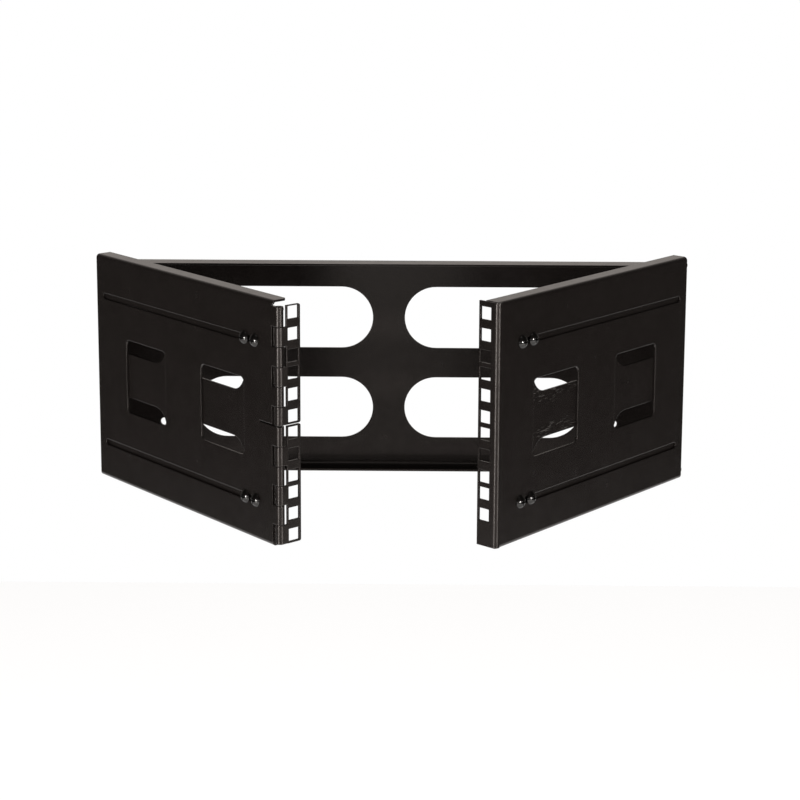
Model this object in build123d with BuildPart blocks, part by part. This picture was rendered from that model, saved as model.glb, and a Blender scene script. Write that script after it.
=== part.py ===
from build123d import *
import os
from math import cos, radians, sin

os.makedirs("parts", exist_ok=True)

# Axes: X runs across the rack, -Y points out from the wall and Z points up.
# The origin lies on the wall face of the back plate, midway between the four wall holes.
# An arm has its own directions: s runs forward along it from the rear edge of its plates, and u runs
# inboard from the outer face of its outer plate.

# Sheet metal
sheet = 1.6
bend_r = 1.4                # inner radius of each fold
slide_gap = 0.1             # between plates that slide on each other
flange_gap = 0.2            # between flanges that turn on each other

# Equipment holes
units = 4
unit_height = 44.45
hole_step = 15.875          # from the middle hole of a unit to the other two
hole_side = 9.5             # square, for a cage nut
hole_r = 0.4                # corners of the square
hole_spacing = 465.1        # across the rack, between the two columns of holes
left_inset = 13.4           # from the outer face of the arm to the column on the hinged rails
right_inset = 11.6          # the same on the fixed flange

# Back plate
back_depth = 18.5
back_top = 83.05
back_bottom = -88.45
back_corner_r = 8.0
opening_length = 144.5
opening_height = 50.8
opening_post = 25.8         # upright left between the openings
opening_mid = -1.8          # height of the middle of the bar between the openings
opening_bar = 24.4          # height of that bar
wall_hole_r = 3.3
wall_hole_x = 183.5
wall_hole_z = 52.4

# Pivots of the arms
arm_offset = 2.2            # X of the middle between the arms
fold_angle = 41.0           # inward from square to the wall
pivot_inboard = 14.0        # u of the pivot
pivot_behind = 10.0         # behind the rear edge of the plates
pivot_off_wall = 8.3
pivot_margin = 6.3          # from the pivot to the end of the back plate
ear_r = 5.8
bolt_r = 2.5
bolt_head_r = 5.2
bolt_head_h = 3.2
head_rim = 0.8              # straight rim of the domed head
hex_recess = 3.0
hex_depth = 1.8
bolt_end = 1.2              # thread left past the nut
pivot_fit = 0.08
back_fit = 0.05
washer_r = 5.0
washer_h = 1.0
pivot_nut_flats = 8.0
pivot_nut_h = 4.2

# Plates of the arms
outer_length = 239.2        # rear edge to the plane of the equipment faces
outer_top = 91.5
outer_bottom = -91.0
outer_flange = 13.0
tongue = 12.0               # length of the inner plate in front of its flanges
tongue_gap = 0.6            # from the inner plate to the hinge
slot_height = 5.0
slot_rear = 9.0
slot_top_z = 58.8
slot_bottom_z = -61.0
screw_step = 12.7           # between the two screws of a slot
screw_inset = 28.2          # from the equipment faces to the front screws
window_height = 59.0
window_r = 4.0
window_rear = 40.9          # behind the rear window
window_post = 47.4          # between the windows
window_inset = 42.1         # from the equipment faces to the front window
window_mid = -0.8           # height of the middle of the windows and of the bar behind them
relief_post = 27.8          # between the rear and the front openings of the inner plate
relief_height = 39.45
relief_r = 15.0
relief_bar = 35.1           # bar between its upper and lower openings
relief_behind = 1.5         # from the front end of a window back to that of the openings behind it

# Slide screws
screw_r = 2.0
screw_fit = 0.1
screw_head_r = 5.0
screw_head_h = 3.2
screw_rim = 0.5             # straight rim of the domed head
screw_end = 1.0             # thread left past the nut
slot_end_gap = 0.3
nut_flats = 7.0
nut_h = 3.0
recess_length = 5.2
recess_width = 1.1
recess_depth = 1.6

# Hinge and equipment rails
bore_r = 1.7
pin_fit = 0.05
pin_chamfer = 0.4
eye_angle = 285.0           # how far the sheet is rolled round the pin
knuckles = 6                # on the two rails together, and on the plate
knuckle_gap = 0.3
rail_gap = 0.9              # between the two rails
rail_drop = 0.85            # from the top of the units to the top of the rails
rail_lift = 0.3             # from the bottom of the units to the bottom of the rails
rail_r = 1.5                # free corners of the rails
hinge_drop = 0.75           # from the top of the rails to the top of the hinge
rail_notch = 7.5            # u of the rail's edge beside the plate's knuckles
rail_edge = 19.8            # u of the free edge
plate_notch = 1.3           # from the plate's edge to the rail's knuckles
flange_setback = 3.3        # front end of the top flange, from the middle of the hinge
flange_tip_r = 3.0
slit_length = 15.0
slit_height = 1.2

# Fixed flange
flange_edge = 17.8          # u of the free edge
flange_drop = 0.3           # from the top of the plate
flange_lift = 0.8           # from the bottom of the plate
flange_open = 0.3           # between the top flange and the fixed flange
corner_gap = 0.4            # between the two folds at the corner

# Sizes that follow
rack_height = units * unit_height
arm_half = (hole_spacing + left_inset + right_inset) / 2
pivot_x = arm_half - pivot_inboard
back_half = pivot_x + pivot_margin
inner_face = sheet + slide_gap
inner_top = back_top - sheet - flange_gap
inner_bottom = back_bottom + sheet + flange_gap
inner_flange = pivot_inboard + ear_r
eye_r = bore_r + sheet
roll_r = bore_r + sheet / 2
hinge_s = outer_length - eye_r
plate_edge = hinge_s - eye_r - plate_notch
flange_end = hinge_s - flange_setback
inner_length = hinge_s - eye_r - tongue_gap
inner_flange_end = inner_length - tongue
rail_top = rack_height / 2 - rail_drop
rail_bottom = rail_lift - rack_height / 2
hinge_top = rail_top - hinge_drop
knuckle_pitch = (hinge_top - rail_bottom) / (2 * knuckles)
screw_front = outer_length - screw_inset
screw_rear = screw_front - screw_step
slot_front = screw_front + screw_r + slot_end_gap
slot_length = slot_front - slot_rear
window_length = (outer_length - window_rear - window_post - window_inset) / 2
column_step = window_length + window_post
relief_length = column_step - relief_post
relief_front = window_rear + window_length - relief_behind
inner_back = inner_face + sheet
bend_mid = bend_r + sheet / 2
unit_middles = [(i - (units - 1) / 2) * unit_height for i in range(units)]
hole_heights = [middle + step for middle in unit_middles for step in (-hole_step, 0, hole_step)]
slot_heights = (slot_top_z, slot_bottom_z)
left = -1
right = 1


def arm_along(side):
    """Direction in which s grows."""
    return Vector(-side * sin(radians(fold_angle)), -cos(radians(fold_angle)), 0)


def arm_inboard(side):
    """Direction in which u grows."""
    return Vector(-side * cos(radians(fold_angle)), sin(radians(fold_angle)), 0)


def arm_point(side, s, u, z):
    pivot = Vector(arm_offset + side * pivot_x, -pivot_off_wall, z)
    return pivot + arm_along(side) * (pivot_behind + s) + arm_inboard(side) * (u - pivot_inboard)


def face_plane(side, u):
    """Upright plane along the arm: x is s and y is the height. A solid grows inboard by side times
    its thickness."""
    along = arm_along(side)
    return Plane(arm_point(side, 0, u, 0), x_dir=along, z_dir=along.cross(Vector(0, 0, 1)))


def section_plane(side, s):
    """Upright plane across the arm: x is u and y is the height. A solid grows forward by minus side
    times its length."""
    inboard = arm_inboard(side)
    return Plane(arm_point(side, s, 0, 0), x_dir=inboard, z_dir=inboard.cross(Vector(0, 0, 1)))


def level_plane(side, z):
    """Level plane at a height: x is s and y is minus side times u."""
    return Plane(arm_point(side, 0, 0, z), x_dir=arm_along(side), z_dir=(0, 0, 1))


def channel(plane, web, depth, bottom, top):
    """Section of a folded sheet: an upright web with a flange at its top and at its bottom."""
    half = sheet / 2
    with BuildSketch(plane) as section:
        with BuildLine():
            FilletPolyline(
                (depth, top - half),
                (web + half, top - half),
                (web + half, bottom + half),
                (depth, bottom + half),
                radius=bend_mid,
            )
        trace(line_width=sheet)
    return section.sketch


def screw_outline(origin, across, outward, head, rim, height, shank, length):
    """Half section of a domed screw, seated at the origin with its head outward."""
    outward = Vector(outward)
    across = Vector(across)
    dome = (head**2 + (height - rim) ** 2) / (2 * (height - rim))
    with BuildSketch(Plane(origin, x_dir=across, z_dir=across.cross(outward))) as outline:
        with BuildLine():
            Polyline((0, height), (0, -length), (shank, -length), (shank, 0), (head, 0), (head, rim))
            ThreePointArc(
                (head, rim),
                (head / 2, height - dome + (dome**2 - head**2 / 4) ** 0.5),
                (0, height),
            )
        make_face()
    return outline.sketch


def arm_openings(side):
    """Outline of the two slots and the two windows of an outer plate."""
    with BuildSketch(face_plane(side, 0)) as openings:
        with Locations(*[(slot_rear + slot_length / 2, z) for z in slot_heights]):
            SlotOverall(slot_length, slot_height)
        middle = window_rear + window_length / 2
        with Locations((middle, window_mid), (middle + column_step, window_mid)):
            RectangleRounded(window_length, window_height, window_r)
    return openings.sketch


# Back plate, fixed to the wall
back_section = Plane((arm_offset + back_half, 0, 0), x_dir=(0, -1, 0), z_dir=(-1, 0, 0))
with BuildPart() as back_plate:
    section = channel(back_section, 0, back_depth, back_bottom, back_top)
    extrude(section, amount=2 * back_half)
    with BuildSketch(Plane.XZ):
        opening_x = (opening_length + opening_post) / 2
        opening_z = (opening_height + opening_bar) / 2
        with Locations((0, opening_mid)):
            with GridLocations(2 * opening_x, 2 * opening_z, 2, 2):
                SlotOverall(opening_length, opening_height)
        with GridLocations(2 * wall_hole_x, 2 * wall_hole_z, 2, 2):
            Circle(wall_hole_r)
    extrude(amount=sheet, mode=Mode.SUBTRACT)
    with BuildSketch(Plane.XY.offset(back_bottom)):
        with Locations(*[(arm_offset + side * pivot_x, -pivot_off_wall) for side in (left, right)]):
            Circle(bolt_r + back_fit)
    extrude(amount=back_top - back_bottom, mode=Mode.SUBTRACT)
    fronts = back_plate.edges().filter_by(Axis.Z).filter_by_position(
        Axis.Y, -back_depth - sheet / 4, -back_depth + sheet / 4
    )
    fillet(fronts, radius=back_corner_r)
back_plate.part.label = "back_plate"
export_step(back_plate.part, "parts/back_plate.step")


# Inner plates, which turn on the pivots
with BuildPart() as left_inner_plate:
    extrude(
        channel(section_plane(left, 0), inner_face, inner_flange, inner_bottom, inner_top),
        amount=inner_flange_end,
    )
    with BuildSketch(face_plane(left, inner_face)):
        with Locations((inner_flange_end, inner_bottom)):
            Rectangle(tongue, inner_top - inner_bottom, align=(Align.MIN, Align.MIN))
    extrude(amount=-sheet)
    with BuildSketch(face_plane(left, inner_face)):
        for front in (relief_front, relief_front + column_step):
            with Locations((front - relief_length / 2, window_mid)):
                with GridLocations(relief_length, relief_bar + relief_height, 1, 2):
                    RectangleRounded(relief_length, relief_height, relief_r)
        with Locations(*[(s, z) for s in (screw_rear, screw_front) for z in slot_heights]):
            Circle(screw_r + screw_fit)
    extrude(amount=-sheet, mode=Mode.SUBTRACT)
    for z in (inner_bottom, inner_top - sheet):
        with BuildSketch(level_plane(left, z)):
            with Locations((-pivot_behind / 2 + bend_r, pivot_inboard)):
                Rectangle(pivot_behind + 2 * bend_r, 2 * ear_r)
            with Locations((-pivot_behind, pivot_inboard)):
                Circle(ear_r)
        extrude(amount=sheet)
    with BuildSketch(level_plane(left, inner_bottom)):
        with Locations((-pivot_behind, pivot_inboard)):
            Circle(bolt_r + pivot_fit)
    extrude(amount=inner_top - inner_bottom, mode=Mode.SUBTRACT)
left_inner_plate.part.label = "left_inner_plate"
export_step(left_inner_plate.part, "parts/left_inner_plate.step")

with BuildPart() as right_inner_plate:
    mirror(left_inner_plate.part, about=Plane.YZ.offset(arm_offset))
right_inner_plate.part.label = "right_inner_plate"
export_step(right_inner_plate.part, "parts/right_inner_plate.step")


# Outer plates, which slide on the inner ones
def knuckle_range(index):
    """Lower and upper end of a knuckle, counted from the top of the hinge."""
    top = hinge_top - index * knuckle_pitch
    return top - knuckle_pitch + knuckle_gap / 2, top - knuckle_gap / 2


plate_knuckles = range(0, 2 * knuckles, 2)

with BuildPart() as left_outer_plate:
    extrude(
        channel(section_plane(left, 0), 0, outer_flange, outer_bottom, outer_top),
        amount=flange_end,
    )
    extrude(arm_openings(left), amount=-sheet, mode=Mode.SUBTRACT)
    with BuildSketch(face_plane(left, 0)):
        notch_top = outer_top - sheet - bend_r
        with Locations((plate_edge, outer_bottom)):
            Rectangle(flange_end - plate_edge, notch_top - outer_bottom, align=(Align.MIN, Align.MIN))
        with Locations((plate_edge, 0)):
            Rectangle(slit_length, slit_height, align=(Align.MAX, Align.CENTER))
    extrude(amount=-outer_flange, mode=Mode.SUBTRACT)
    tip = arm_point(left, flange_end, outer_flange, outer_top)
    fillet(left_outer_plate.edges().filter_by(Axis.Z).sort_by_distance(tip)[0], radius=flange_tip_r)
    for index in plate_knuckles:
        bottom, top = knuckle_range(index)
        with BuildSketch(level_plane(left, bottom)):
            with BuildLine():
                Line((plate_edge - bend_r, sheet / 2), (hinge_s, sheet / 2))
                CenterArc((hinge_s, eye_r), roll_r, -90, eye_angle)
            trace(line_width=sheet)
        extrude(amount=top - bottom)
left_outer_plate.part.label = "left_outer_plate"
export_step(left_outer_plate.part, "parts/left_outer_plate.step")

with BuildPart() as right_outer_plate:
    top_end = outer_length - sheet - flange_open
    extrude(
        channel(section_plane(right, 0), 0, outer_flange, outer_bottom, outer_top),
        amount=-top_end,
    )
    fold_s = outer_length - sheet - 2 * bend_r
    with BuildSketch(face_plane(right, 0)):
        with Locations((fold_s, outer_bottom)):
            Rectangle(top_end - fold_s, outer_top - outer_bottom, align=(Align.MIN, Align.MIN))
    extrude(amount=sheet + corner_gap, mode=Mode.SUBTRACT)
    flange_bottom = outer_bottom + flange_lift
    with BuildSketch(level_plane(right, flange_bottom)):
        with BuildLine():
            FilletPolyline(
                (fold_s, -sheet / 2),
                (outer_length - sheet / 2, -sheet / 2),
                (outer_length - sheet / 2, -flange_edge),
                radius=bend_mid,
            )
        trace(line_width=sheet)
    extrude(amount=outer_top - flange_drop - flange_bottom)
    extrude(arm_openings(right), amount=sheet, mode=Mode.SUBTRACT)
    with BuildSketch(section_plane(right, outer_length)):
        for height in hole_heights[1:]:
            with Locations((right_inset, height)):
                RectangleRounded(hole_side, hole_side, hole_r)
    extrude(amount=sheet, mode=Mode.SUBTRACT)
right_outer_plate.part.label = "right_outer_plate"
export_step(right_outer_plate.part, "parts/right_outer_plate.step")

# Equipment rails, which swing on the hinge, each with its pin
for level, bottom, top, indices in (
    ("upper", rail_gap / 2, rail_top, range(1, knuckles, 2)),
    ("lower", rail_bottom, -rail_gap / 2, range(knuckles + 1, 2 * knuckles, 2)),
):
    eye_ranges = []
    for index in indices:
        low, high = knuckle_range(index)
        eye_ranges.append((max(low, bottom), min(high, top)))
    with BuildPart() as rail:
        with BuildSketch(section_plane(left, outer_length)) as outline:
            with Locations((rail_notch, bottom)):
                Rectangle(rail_edge - rail_notch, top - bottom, align=(Align.MIN, Align.MIN))
            fillet(outline.vertices().sort_by(Axis.X)[-2:], radius=rail_r)
            for low, high in eye_ranges:
                with Locations((eye_r, low)):
                    Rectangle(rail_notch - eye_r, high - low, align=(Align.MIN, Align.MIN))
            for height in hole_heights:
                if bottom < height < top:
                    with Locations((left_inset, height)):
                        RectangleRounded(hole_side, hole_side, hole_r, mode=Mode.SUBTRACT)
        extrude(amount=-sheet)
        for low, high in eye_ranges:
            with BuildSketch(level_plane(left, low)):
                with BuildLine():
                    Line((hinge_s + roll_r, rail_notch), (hinge_s + roll_r, eye_r))
                    CenterArc((hinge_s, eye_r), roll_r, 0, -eye_angle)
                trace(line_width=sheet)
            extrude(amount=high - low)
    name = f"{level}_rail"
    rail.part.label = name
    export_step(rail.part, f"parts/{name}.step")

    pin_top = min(top, hinge_top)
    with BuildPart() as hinge_pin:
        with BuildSketch(level_plane(left, bottom)):
            with Locations((hinge_s, eye_r)):
                Circle(bore_r - pin_fit)
        extrude(amount=pin_top - bottom)
        chamfer(hinge_pin.edges().filter_by(GeomType.CIRCLE), length=pin_chamfer)
    name = f"{level}_hinge_pin"
    hinge_pin.part.label = name
    export_step(hinge_pin.part, f"parts/{name}.step")

# Pivot bolts, from outside through the back plate and the ear, with their washers and nuts
for side, side_name in ((left, "left"), (right, "right")):
    for up, level, outside in ((1, "upper", back_top), (-1, "lower", back_bottom)):
        at = Vector(arm_offset + side * pivot_x, -pivot_off_wall, 0)
        head = Plane(at + Vector(0, 0, outside + up * washer_h), x_dir=(1, 0, 0), z_dir=(0, 0, up))
        stack = washer_h + 2 * sheet + flange_gap + washer_h + pivot_nut_h
        with BuildPart() as pivot_bolt:
            outline = screw_outline(
                head.origin,
                (1, 0, 0),
                (0, 0, up),
                bolt_head_r,
                head_rim,
                bolt_head_h,
                bolt_r,
                stack + bolt_end,
            )
            revolve(outline, axis=Axis(head.origin, (0, 0, 1)))
            with BuildSketch(head.offset(bolt_head_h)):
                RegularPolygon(hex_recess / 2, 6, major_radius=False)
            extrude(amount=-hex_depth, mode=Mode.SUBTRACT)
        name = f"{side_name}_{level}_pivot_bolt"
        pivot_bolt.part.label = name
        export_step(pivot_bolt.part, f"parts/{name}.step")

        with BuildPart() as pivot_washer:
            with BuildSketch(head.offset(-washer_h)):
                Circle(washer_r)
                Circle(bolt_r + back_fit, mode=Mode.SUBTRACT)
            extrude(amount=washer_h)
        name = f"{side_name}_{level}_pivot_washer"
        pivot_washer.part.label = name
        export_step(pivot_washer.part, f"parts/{name}.step")

        with BuildPart() as pivot_nut:
            with BuildSketch(head.offset(-stack)):
                RegularPolygon(pivot_nut_flats / 2, 6, major_radius=False)
            extrude(amount=pivot_nut_h)
            with BuildSketch(head.offset(-stack + pivot_nut_h)):
                Circle(washer_r)
            extrude(amount=washer_h)
            with BuildSketch(head.offset(-stack)):
                Circle(bolt_r)
            extrude(amount=pivot_nut_h + washer_h, mode=Mode.SUBTRACT)
        name = f"{side_name}_{level}_pivot_nut"
        pivot_nut.part.label = name
        export_step(pivot_nut.part, f"parts/{name}.step")

# Slide screws, from outside through the slots into the inner plates, with their nuts
for side, side_name in ((left, "left"), (right, "right")):
    for z, level in ((slot_top_z, "upper"), (slot_bottom_z, "lower")):
        for s, place in ((screw_rear, "rear"), (screw_front, "front")):
            outward = arm_inboard(side) * -1
            seat = Plane(arm_point(side, s, -slide_gap, z), x_dir=arm_along(side), z_dir=outward)
            grip = slide_gap + inner_back + nut_h
            with BuildPart() as slide_screw:
                outline = screw_outline(
                    seat.origin,
                    arm_along(side),
                    outward,
                    screw_head_r,
                    screw_rim,
                    screw_head_h,
                    screw_r,
                    grip + screw_end,
                )
                revolve(outline, axis=Axis(seat.origin, outward))
                with BuildSketch(seat.offset(screw_head_h)):
                    SlotOverall(recess_length, recess_width)
                    SlotOverall(recess_length, recess_width, rotation=90)
                extrude(amount=-recess_depth, mode=Mode.SUBTRACT)
            name = f"{side_name}_{level}_{place}_screw"
            slide_screw.part.label = name
            export_step(slide_screw.part, f"parts/{name}.step")

            with BuildPart() as slide_nut:
                with BuildSketch(seat.offset(-grip)):
                    RegularPolygon(nut_flats / 2, 6, major_radius=False)
                    Circle(screw_r, mode=Mode.SUBTRACT)
                extrude(amount=nut_h)
            name = f"{side_name}_{level}_{place}_nut"
            slide_nut.part.label = name
            export_step(slide_nut.part, f"parts/{name}.step")
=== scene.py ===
import math

import bpy
from mathutils import Matrix, Vector

# Camera, fitted to the rows of equipment holes; lengths in metres
FOCAL_PX = 2003.35
FRAME_PX = 800
SENSOR_MM = 36.0
CAMERA_AT = Vector((0.02111, -1.59086, 0.38620))
PITCH = math.radians(10.217)
YAW = math.radians(-0.448)
ROLL = math.radians(0.24)
SHIFT_Y = -0.2
CLIP_START = 0.01

# Powder coat: colours, gloss, and scales of its noises in cycles per metre
COAT_DARK = (0.0056, 0.0044, 0.0039)
COAT_LIGHT = (0.0078, 0.0063, 0.0057)
COAT_ROUGH = 0.25
COAT_ROUGH_SPREAD = 0.05
COAT_SPECULAR = 0.36
COAT_SPECULAR_TINT = (1.0, 0.90, 0.84)
MOTTLE_SCALE = 38.0
MOTTLE_RANGE = (0.3, 0.75)
GLOSS_PATCH_SCALE = 130.0
PEEL_SCALE = 1500.0
PEEL_STRENGTH = 0.12
PEEL_DEPTH = 0.00004
COAT_EDGE = 0.0008

# Rubbing marks on the right inner plate, in its own coordinates
SCUFF_COLOUR = (0.10, 0.092, 0.086)
SCUFF_STRETCH = (160.0, 160.0, 1500.0)
SCUFF_THRESHOLD = (0.58, 0.72)
SCUFF_HEIGHTS = (0.004, 0.016)
STRUT_HALF_HEIGHT = 0.021
SCUFF_FADE_X = (0.150, 0.125)

# Black plating: colour and roughness
SCREW_FINISH = ((0.052, 0.050, 0.048), 0.16)
BOLT_FINISH = ((0.062, 0.060, 0.058), 0.24)
PLATING_SHADE = 0.75
PLATING_ROUGH_BELOW = 0.04
PLATING_ROUGH_ABOVE = 0.06
PLATING_MARK_SCALE = 900.0
PLATING_EDGE = 0.0003
BEVEL_SAMPLES = 6

# Stage
FLOOR_Z = -1.1
FLOOR_SIZE = 5.0
FLOOR_GREY = 0.82
FLOOR_LIFT = 0.77
WHITE = (1, 1, 1, 1)

# World as a light: level at each place from the front (0) to the back (1)
WORLD_LEVELS = ((0.02, 0.14), (0.4, 0.08), (0.62, 0.05), (0.75, 0.10), (0.95, 0.71))
WORLD_TINT = (1.0, 0.92, 0.86)

# Lamps: name, place, aim, width, height, watts. All but the top one stay below the top
# flanges, so that these don't mirror them from behind.
LAMPS = (
    ("top_softbox", (0.0, -0.3, 1.6), (0, -0.1, 0), 1.4, 1.4, 6.0),
    ("left_softbox", (-1.4, -2.05, -0.45), (0, -0.1, 0), 0.3, 1.1, 17.5),
    ("right_softbox", (2.11, -1.5, -0.45), (0, -0.1, 0), 0.3, 1.1, 12.5),
    ("front_fill", (0.0, -3.6, -0.33), (0, 0, 0), 3.8, 0.84, 8.0),
    ("left_fill", (-1.0, -3.5, -0.33), (0, 0, 0), 1.2, 0.84, 6.0),
    ("left_key", (-2.0, -2.7, -0.08), (0, 0, 0), 0.44, 0.32, 64.0),
    ("right_key", (2.0, -2.7, -0.08), (0, 0, 0), 0.44, 0.32, 64.0),
)

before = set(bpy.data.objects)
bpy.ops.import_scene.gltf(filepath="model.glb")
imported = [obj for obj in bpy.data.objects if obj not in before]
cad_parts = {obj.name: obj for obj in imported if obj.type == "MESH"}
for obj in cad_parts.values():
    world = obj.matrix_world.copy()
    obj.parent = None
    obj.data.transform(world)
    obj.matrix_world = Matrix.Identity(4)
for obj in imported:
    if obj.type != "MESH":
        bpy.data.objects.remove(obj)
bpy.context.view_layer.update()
scene = bpy.context.scene
scene.view_settings.view_transform = "Standard"


# Shader nodes
def node(tree, kind, at, **inputs):
    """A new node with its unlinked inputs set."""
    made = tree.nodes.new(kind)
    made.location = at
    for name, value in inputs.items():
        made.inputs[name].default_value = value
    return made


def maths(tree, operation, at, *operands):
    """Output of a math node whose operands are sockets or numbers."""
    made = node(tree, "ShaderNodeMath", at)
    made.operation = operation
    for socket, operand in zip(made.inputs, operands):
        if isinstance(operand, float):
            socket.default_value = operand
        else:
            tree.links.new(operand, socket)
    return made.outputs[0]


def noise(tree, vector, at, **settings):
    """Factor of a noise texture."""
    made = node(tree, "ShaderNodeTexNoise", at, **settings)
    tree.links.new(vector, made.inputs["Vector"])
    return made.outputs["Fac"]


def map_range(tree, value, at, **limits):
    """Output of a map range node, with its limits by name, such as To_Min."""
    made = node(tree, "ShaderNodeMapRange", at)
    for name, limit in limits.items():
        made.inputs[name.replace("_", " ")].default_value = limit
    tree.links.new(value, made.inputs["Value"])
    return made.outputs["Result"]


def colour_ramp(tree, factor, at, stops):
    """Colour of a ramp through stops in rising order."""
    made = node(tree, "ShaderNodeValToRGB", at)
    elements = made.color_ramp.elements
    while len(elements) < len(stops):
        elements.new(1.0)
    for element, (position, colour) in zip(elements, stops):
        element.position = position
        element.color = (*colour, 1)
    tree.links.new(factor, made.inputs["Fac"])
    return made.outputs["Color"]


def rounded_edges(tree, radius, at):
    """Normal that softens the edges."""
    made = node(tree, "ShaderNodeBevel", at, Radius=radius)
    made.samples = BEVEL_SAMPLES
    return made.outputs["Normal"]


# Materials
def new_material(name):
    material = bpy.data.materials.new(name)
    material.use_nodes = True
    material.node_tree.nodes.clear()
    return material


def powder_coat(name):
    """Satin black: slight mottle in colour and gloss, fine orange peel and softened edges."""
    material = new_material(name)
    tree = material.node_tree
    link = tree.links.new
    out = node(tree, "ShaderNodeOutputMaterial", (900, 0))
    shader = node(tree, "ShaderNodeBsdfPrincipled", (600, 0))
    shader.inputs["Specular IOR Level"].default_value = COAT_SPECULAR
    shader.inputs["Specular Tint"].default_value = (*COAT_SPECULAR_TINT, 1)
    place = node(tree, "ShaderNodeTexCoord", (-900, 0)).outputs["Object"]

    mottle = noise(tree, place, (-600, 200), Scale=MOTTLE_SCALE, Detail=5.0, Roughness=0.6)
    stops = tuple(zip(MOTTLE_RANGE, (COAT_DARK, COAT_LIGHT)))
    link(colour_ramp(tree, mottle, (-300, 200), stops), shader.inputs["Base Color"])

    patches = noise(tree, place, (-600, -100), Scale=GLOSS_PATCH_SCALE, Detail=3.0)
    gloss = map_range(
        tree, patches, (-300, -100),
        To_Min=COAT_ROUGH - COAT_ROUGH_SPREAD, To_Max=COAT_ROUGH + COAT_ROUGH_SPREAD,
    )
    link(gloss, shader.inputs["Roughness"])

    peel = noise(tree, place, (-600, -400), Scale=PEEL_SCALE, Detail=2.0)
    bump = node(tree, "ShaderNodeBump", (0, -400), Strength=PEEL_STRENGTH, Distance=PEEL_DEPTH)
    link(peel, bump.inputs["Height"])
    link(rounded_edges(tree, COAT_EDGE, (-300, -600)), bump.inputs["Normal"])
    link(bump.outputs["Normal"], shader.inputs["Normal"])
    link(shader.outputs["BSDF"], out.inputs["Surface"])
    return material


def add_scuffs(material):
    """Faint rubbing marks along the slide, near the two edges of the front window's strut."""
    tree = material.node_tree
    link = tree.links.new
    shader = next(item for item in tree.nodes if item.type == "BSDF_PRINCIPLED")
    plain_colour = shader.inputs["Base Color"].links[0].from_socket
    place = node(tree, "ShaderNodeTexCoord", (-900, 600)).outputs["Object"]
    stretch = node(tree, "ShaderNodeMapping", (-700, 600), Scale=SCUFF_STRETCH)
    link(place, stretch.inputs["Vector"])
    streaks = noise(tree, stretch.outputs["Vector"], (-500, 600), Scale=1.0, Detail=2.0)
    least, most = SCUFF_THRESHOLD
    sparse = map_range(tree, streaks, (-300, 600), From_Min=least, From_Max=most)

    split = node(tree, "ShaderNodeSeparateXYZ", (-700, 800))
    link(place, split.inputs[0])
    height = maths(tree, "ABSOLUTE", (-500, 800), split.outputs["Z"])
    inner, outer = SCUFF_HEIGHTS
    near_edge = map_range(tree, height, (-300, 800), From_Min=inner, From_Max=outer)
    strut_only = maths(tree, "LESS_THAN", (-300, 650), height, STRUT_HALF_HEIGHT)
    none_from, full_from = SCUFF_FADE_X
    front_only = map_range(
        tree, split.outputs["X"], (-300, 1000), From_Min=none_from, From_Max=full_from
    )
    on_strut = maths(tree, "MULTIPLY", (-100, 650), near_edge, strut_only)
    both = maths(tree, "MULTIPLY", (-100, 800), on_strut, front_only)
    amount = maths(tree, "MULTIPLY", (100, 700), both, sparse)

    blend = node(tree, "ShaderNodeMixRGB", (300, 400), Color2=(*SCUFF_COLOUR, 1))
    link(amount, blend.inputs["Fac"])
    link(plain_colour, blend.inputs["Color1"])
    link(blend.outputs["Color"], shader.inputs["Base Color"])
    return material


def plating(name, colour, rough):
    """Glossy black plating, with faint marks in its colour and gloss."""
    material = new_material(name)
    tree = material.node_tree
    link = tree.links.new
    out = node(tree, "ShaderNodeOutputMaterial", (900, 0))
    shader = node(tree, "ShaderNodeBsdfPrincipled", (600, 0), Metallic=1.0)
    place = node(tree, "ShaderNodeTexCoord", (-900, 0)).outputs["Object"]
    marks = noise(tree, place, (-600, 0), Scale=PLATING_MARK_SCALE, Detail=3.0)
    shaded = tuple(PLATING_SHADE * channel for channel in colour)
    tint = colour_ramp(tree, marks, (-300, 200), ((0.0, shaded), (1.0, colour)))
    gloss = map_range(
        tree, marks, (-300, -100),
        To_Min=rough - PLATING_ROUGH_BELOW, To_Max=rough + PLATING_ROUGH_ABOVE,
    )
    link(tint, shader.inputs["Base Color"])
    link(gloss, shader.inputs["Roughness"])
    link(rounded_edges(tree, PLATING_EDGE, (-300, -400)), shader.inputs["Normal"])
    link(shader.outputs["BSDF"], out.inputs["Surface"])
    return material


def dress(piece, material):
    piece.data.materials.clear()
    piece.data.materials.append(material)


coat = powder_coat("black_powder_coat")
scuffed_coat = add_scuffs(powder_coat("scuffed_powder_coat"))
screw_plating = plating("black_plating", *SCREW_FINISH)
bolt_plating = plating("pivot_plating", *BOLT_FINISH)

for name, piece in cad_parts.items():
    if "pivot" in name:
        dress(piece, bolt_plating)
    elif name.endswith(("_screw", "_nut")):
        dress(piece, screw_plating)
    elif name == "right_inner_plate":
        dress(piece, scuffed_coat)
    else:
        dress(piece, coat)


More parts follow.
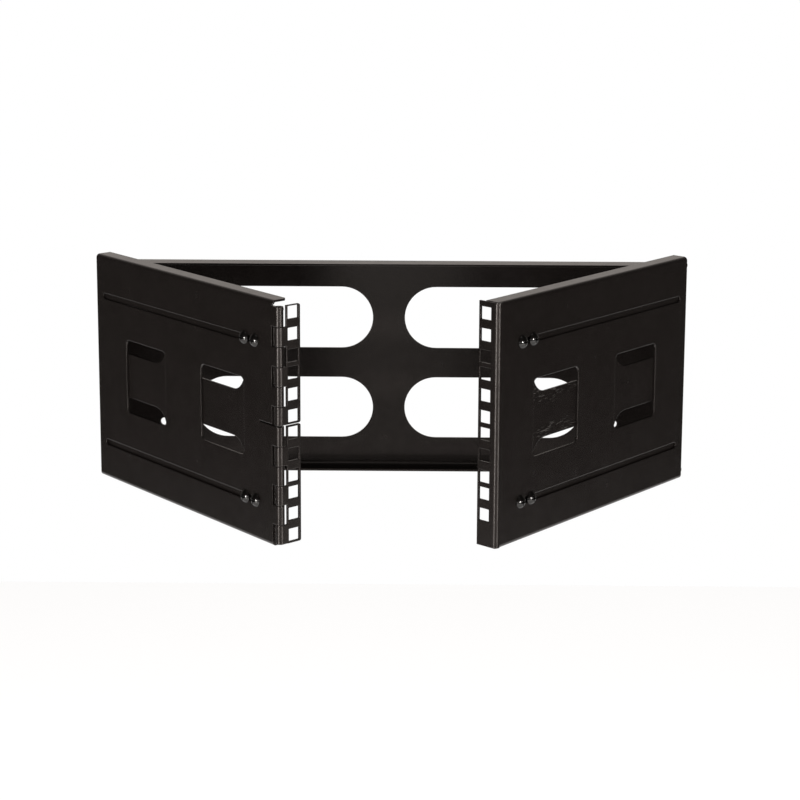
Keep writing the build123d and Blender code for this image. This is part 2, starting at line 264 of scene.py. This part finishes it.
# Stage
def floor_material():
    """Diffuse, and lifted to white for what sees it directly, so a shadow still shows."""
    material = new_material("pale_floor")
    tree = material.node_tree
    link = tree.links.new
    out = node(tree, "ShaderNodeOutputMaterial", (900, 0))
    grey = (FLOOR_GREY, FLOOR_GREY, FLOOR_GREY, 1)
    diffuse = node(tree, "ShaderNodeBsdfDiffuse", (0, 0), Color=grey)
    glow = node(tree, "ShaderNodeEmission", (0, -200), Color=WHITE)
    ray = node(tree, "ShaderNodeLightPath", (-700, -200)).outputs
    seen = maths(tree, "MAXIMUM", (-500, -200), ray["Is Camera Ray"], ray["Is Glossy Ray"])
    seen = maths(tree, "MAXIMUM", (-300, -200), seen, ray["Is Transmission Ray"])
    link(maths(tree, "MULTIPLY", (-150, -200), seen, FLOOR_LIFT), glow.inputs["Strength"])
    total = node(tree, "ShaderNodeAddShader", (500, 0))
    link(diffuse.outputs[0], total.inputs[0])
    link(glow.outputs[0], total.inputs[1])
    link(total.outputs[0], out.inputs["Surface"])
    return material


def place_floor():
    half = FLOOR_SIZE / 2
    corners = [(x * half, y * half, FLOOR_Z) for x, y in ((-1, -1), (1, -1), (1, 1), (-1, 1))]
    mesh = bpy.data.meshes.new("floor")
    mesh.from_pydata(corners, [], [(0, 1, 2, 3)])
    floor = bpy.data.objects.new("floor", mesh)
    scene.collection.objects.link(floor)
    dress(floor, floor_material())


def build_world():
    """White where the camera or glass sees it, and soft and plain as a light and in gloss."""
    world = bpy.data.worlds.new("studio")
    scene.world = world
    world.use_nodes = True
    tree = world.node_tree
    tree.nodes.clear()
    link = tree.links.new
    out = node(tree, "ShaderNodeOutputWorld", (900, 0))
    white = node(tree, "ShaderNodeBackground", (300, 150), Color=WHITE, Strength=1.0)
    soft = node(tree, "ShaderNodeBackground", (300, -150), Strength=1.0)
    direction = node(tree, "ShaderNodeTexCoord", (-900, -200)).outputs["Generated"]
    split = node(tree, "ShaderNodeSeparateXYZ", (-700, -200))
    link(direction, split.inputs[0])
    toward_back = map_range(tree, split.outputs["Y"], (-500, -200), From_Min=-1.0)
    stops = [
        (position, [level * channel for channel in WORLD_TINT])
        for position, level in WORLD_LEVELS
    ]
    link(colour_ramp(tree, toward_back, (-300, -200), stops), soft.inputs["Color"])
    ray = node(tree, "ShaderNodeLightPath", (-300, 300)).outputs
    seen = maths(tree, "MAXIMUM", (-100, 300), ray["Is Camera Ray"], ray["Is Transmission Ray"])
    pick = node(tree, "ShaderNodeMixShader", (600, 0))
    link(seen, pick.inputs["Fac"])
    link(soft.outputs[0], pick.inputs[1])
    link(white.outputs[0], pick.inputs[2])
    link(pick.outputs[0], out.inputs["Surface"])


def place_lamp(name, at, aim, width, height, watts):
    """Softbox facing a point."""
    data = bpy.data.lights.new(name, "AREA")
    data.energy = watts
    data.shape = "RECTANGLE"
    data.size = width
    data.size_y = height
    item = bpy.data.objects.new(name, data)
    scene.collection.objects.link(item)
    item.location = at
    item.rotation_euler = (Vector(aim) - Vector(at)).to_track_quat("-Z", "Y").to_euler()


def place_camera():
    forward = Vector((
        math.sin(YAW) * math.cos(PITCH),
        math.cos(YAW) * math.cos(PITCH),
        -math.sin(PITCH),
    ))
    level = Vector((math.cos(YAW), -math.sin(YAW), 0))
    upright = level.cross(forward)
    across = level * math.cos(ROLL) + upright * math.sin(ROLL)
    up = upright * math.cos(ROLL) - level * math.sin(ROLL)
    data = bpy.data.cameras.new("camera")
    data.sensor_width = SENSOR_MM
    data.lens = FOCAL_PX * SENSOR_MM / FRAME_PX
    data.shift_y = SHIFT_Y
    data.clip_start = CLIP_START
    camera = bpy.data.objects.new("camera", data)
    scene.collection.objects.link(camera)
    turn = Matrix((across, up, -forward)).transposed().to_4x4()
    camera.matrix_world = Matrix.Translation(CAMERA_AT) @ turn
    scene.camera = camera


place_floor()
build_world()
for lamp in LAMPS:
    place_lamp(*lamp)
place_camera()
